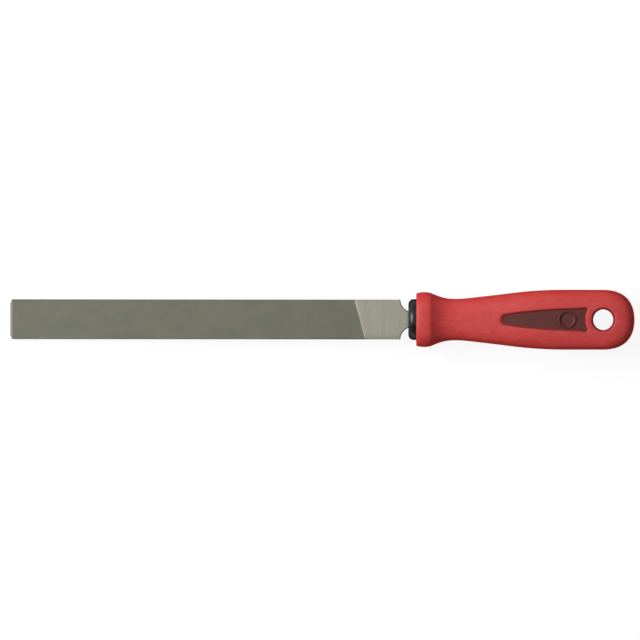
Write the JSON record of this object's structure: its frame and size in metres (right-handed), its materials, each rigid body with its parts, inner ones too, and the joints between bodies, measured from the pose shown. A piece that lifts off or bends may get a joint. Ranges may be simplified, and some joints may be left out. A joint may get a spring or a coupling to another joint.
{
  "type": "flat hand file with handle",
  "caption": "Flat steel hand file, parallel in width, with a tapered tang pressed into a removable two-component handle that has a hanging hole.",
  "frame": {"origin": "centre of the whole tool's bounding box, on the long axis, half way through the thickness", "axes": "+X from the tip of the bar to the butt of the handle, +Y across the bar's width, +Z out of one broad face"},
  "size_m": [0.32, 0.0306, 0.026],
  "materials": {
    "file_steel": "hardened steel, double-cut teeth on both broad faces, ground heel, dull grey",
    "black_plastic": "glossy black",
    "maroon_plastic": "satin, fine moulded texture",
    "red_grip": "satin soft-touch elastomer"
  },
  "bodies": {
    "file": {"file_blade": "file_steel"},
    "handle": {"tang_bush": "black_plastic", "handle_core": "maroon_plastic", "grip_sleeve": "red_grip"}
  },
  "joints": [
    {"name": "handle_pull", "type": "slide", "parent": "file", "child": "handle", "axis": [1, 0, 0], "range_m": [0, 0.06]}
  ]
}
